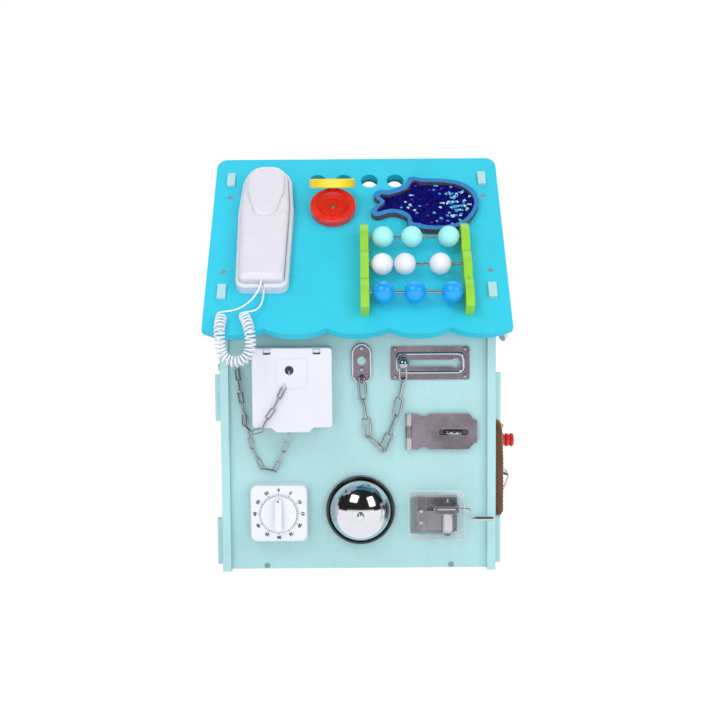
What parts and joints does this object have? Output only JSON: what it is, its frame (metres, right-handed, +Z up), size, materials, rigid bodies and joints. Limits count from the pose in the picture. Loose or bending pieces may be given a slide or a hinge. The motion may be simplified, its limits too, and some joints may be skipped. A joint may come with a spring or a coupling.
{
  "type": "wooden busy board",
  "caption": "House-shaped wooden activity board with a toy phone, bead rods, castanet, bell, latches, chains, timer and music box on its faces.",
  "frame": {"origin": "middle of the footprint, on the surface that the house stands on", "axes": "+X to the right of the front, +Y to the back, +Z up"},
  "size_m": [0.3765, 0.3589, 0.5091],
  "materials": {
    "roof_paint": "matt paint",
    "wall_paint": "matt paint",
    "plywood": "bare birch plywood",
    "black_screw": "black phosphate",
    "small_screw": "zinc plated",
    "phone_white": "gloss",
    "cord_white": "smooth",
    "castanet_red": "gloss paint",
    "castanet_yellow": "gloss paint",
    "frame_blue": "matt paint with a burnt edge",
    "sequin_cloth": "sewn sequins",
    "bracket_green": "matt paint",
    "steel_rod": "bright",
    "bead_mint": "matt paint",
    "bead_white": "gloss paint",
    "bead_blue": "gloss paint",
    "socket_white": "satin",
    "lock_black": "gloss",
    "chain_silver": "nickel plated",
    "dark_steel": "antique nickel",
    "timer_white": "gloss",
    "bell_chrome": "polished",
    "bell_black": "gloss enamel",
    "bell_steel": "plain",
    "music_clear": "clear",
    "music_steel": "plain",
    "music_brass": "plain",
    "leather_brown": "smooth",
    "ring_steel": "plain",
    "lace_white": "braided",
    "button_red": "gloss",
    "button_yellow": "gloss",
    "knob_chrome": "polished"
  },
  "bodies": {
    "root": {"abacus_brackets": "bracket_green", "abacus_rods": "steel_rod", "back_panel": "wall_paint", "back_roof_board": "roof_paint", "base_board": "plywood", "bell_base": "bell_black", "bell_dome": "bell_chrome", "castanet_base": "castanet_red", "door_chain": "chain_silver", "fine_chains": "chain_silver", "front_panel": "wall_paint", "front_roof_board": "roof_paint", "handset_cord": "cord_white", "hasp_leaf": "dark_steel", "hasp_staple": "dark_steel", "keeper_plate": "dark_steel", "left_hook": "knob_chrome", "left_side_panel": "wall_paint", "music_bedplate": "music_steel", "music_comb": "music_steel", "music_cover": "music_clear", "music_tray": "music_clear", "panel_screws": "black_screw", "phone_cradle": "phone_white", "right_side_panel": "wall_paint", "screw_eye": "black_screw", "sequin_panel": "sequin_cloth", "shoe_lace": "lace_white", "shoe_panel": "leather_brown", "shoe_ring": "ring_steel", "small_screws": "small_screw", "socket_box": "socket_white", "socket_insert": "socket_white", "socket_plug": "socket_white", "timer_case": "timer_white", "track_plate": "dark_steel", "whale_frame": "frame_blue"},
    "handset": {"phone_handset": "phone_white"},
    "castanet_top": {"castanet_lid": "castanet_yellow"},
    "lid": {"socket_lid": "socket_white"},
    "key": {"lid_key": "lock_black"},
    "knob": {"chain_knob": "chain_silver"},
    "strap": {"hasp_strap": "dark_steel"},
    "timer_dial": {"timer_knob": "timer_white"},
    "button": {"bell_button": "bell_chrome"},
    "hammer": {"bell_hammer": "bell_steel"},
    "crank": {"music_crank": "music_steel"},
    "cylinder": {"music_cylinder": "music_brass"},
    "red_turner": {"red_bolt": "button_red"},
    "yellow_turner": {"yellow_turn_button": "button_yellow"},
    "chrome_turner": {"chrome_knob": "knob_chrome"},
    "mint_1": {"mint_bead_1": "bead_mint"},
    "mint_2": {"mint_bead_2": "bead_mint"},
    "mint_3": {"mint_bead_3": "bead_mint"},
    "white_1": {"white_bead_1": "bead_white"},
    "white_2": {"white_bead_2": "bead_white"},
    "white_3": {"white_bead_3": "bead_white"},
    "blue_1": {"blue_bead_1": "bead_blue"},
    "blue_2": {"blue_bead_2": "bead_blue"},
    "blue_3": {"blue_bead_3": "bead_blue"}
  },
  "joints": [
    {"name": "handset_lift", "type": "slide", "parent": "root", "child": "handset", "axis": [0, -0.7907, 0.6122], "range_m": [0, 0.06], "deforming": ["handset_cord"]},
    {"name": "castanet_hinge", "type": "hinge", "parent": "root", "child": "castanet_top", "pos_m": [-0.0295, -0.04634, 0.46756], "axis": [1, 0, 0], "range_deg": [0, 46], "stiffness_Nm_per_rad": 0.02, "springref_deg": -22.92},
    {"name": "mint_bead_1_slide", "type": "slide", "parent": "root", "child": "mint_1", "axis": [1, 0, 0], "range_m": [-0.0044, 0.0088]},
    {"name": "mint_bead_2_slide", "type": "slide", "parent": "root", "child": "mint_2", "axis": [1, 0, 0], "range_m": [-0.0088, 0.0185]},
    {"name": "mint_bead_3_slide", "type": "slide", "parent": "root", "child": "mint_3", "axis": [1, 0, 0], "range_m": [-0.0185, 0.0015]},
    {"name": "white_bead_1_slide", "type": "slide", "parent": "root", "child": "white_1", "axis": [1, 0, 0], "range_m": [-0.0031, 0.0007]},
    {"name": "white_bead_2_slide", "type": "slide", "parent": "root", "child": "white_2", "axis": [1, 0, 0], "range_m": [-0.0007, 0.0156]},
    {"name": "white_bead_3_slide", "type": "slide", "parent": "root", "child": "white_3", "axis": [1, 0, 0], "range_m": [-0.0156, 0.0138]},
    {"name": "blue_bead_1_slide", "type": "slide", "parent": "root", "child": "blue_1", "axis": [1, 0, 0], "range_m": [-0.0034, 0.0108]},
    {"name": "blue_bead_2_slide", "type": "slide", "parent": "root", "child": "blue_2", "axis": [1, 0, 0], "range_m": [-0.0108, 0.0176]},
    {"name": "blue_bead_3_slide", "type": "slide", "parent": "root", "child": "blue_3", "axis": [1, 0, 0], "range_m": [-0.0176, 0.0014]},
    {"name": "socket_lid_hinge", "type": "hinge", "parent": "root", "child": "lid", "pos_m": [-0.077, -0.1494, 0.269], "axis": [-1, 0, 0], "range_deg": [0, 62], "deforming": ["fine_chains"]},
    {"name": "key_turn", "type": "hinge", "parent": "lid", "child": "key", "pos_m": [-0.08, -0.15, 0.2466], "axis": [0, 1, 0], "range_deg": [0, 90]},
    {"name": "chain_knob_slide", "type": "slide", "parent": "root", "child": "knob", "axis": [1, 0, 0], "range_m": [0, 0.0625], "deforming": ["door_chain"]},
    {"name": "hasp_hinge", "type": "hinge", "parent": "root", "child": "strap", "pos_m": [0.061, -0.1246, 0.169], "axis": [0, 0, -1], "range_deg": [0, 100]},
    {"name": "timer_turn", "type": "hinge", "parent": "root", "child": "timer_dial", "pos_m": [-0.0953, -0.142, 0.074], "axis": [0, 1, 0], "range_deg": [0, 330]},
    {"name": "bell_press", "type": "slide", "parent": "root", "child": "button", "axis": [0, 1, 0], "range_m": [0, 0.003], "stiffness_N_per_m": 150, "springref_m": -0.002},
    {"name": "bell_hammer_swing", "type": "hinge", "parent": "root", "child": "hammer", "pos_m": [0.002, -0.1304, 0.0635], "axis": [-1, 0, 0], "range_deg": [0, 18]},
    {"name": "crank_turn", "type": "hinge", "parent": "root", "child": "crank", "pos_m": [0.12, -0.148, 0.0795], "axis": [1, 0, 0], "continuous": true},
    {"name": "cylinder_turn", "type": "hinge", "parent": "root", "child": "cylinder", "pos_m": [0.106, -0.1367, 0.06], "axis": [0, 0, 1], "continuous": true},
    {"name": "red_bolt_turn", "type": "hinge", "parent": "root", "child": "red_turner", "pos_m": [0.18, -0.058, 0.148], "axis": [1, 0, 0], "continuous": true},
    {"name": "yellow_button_turn", "type": "hinge", "parent": "root", "child": "yellow_turner", "pos_m": [0.18, -0.052, 0.166], "axis": [1, 0, 0], "continuous": true},
    {"name": "chrome_knob_turn", "type": "hinge", "parent": "root", "child": "chrome_turner", "pos_m": [0.175, -0.078, 0.286], "axis": [1, 0, 0], "continuous": true}
  ],
  "couplings": [
    {"joint": "bell_hammer_swing", "follows": "bell_press", "rad_per_m": 100},
    {"joint": "cylinder_turn", "follows": "crank_turn", "ratio": 0.033333}
  ]
}
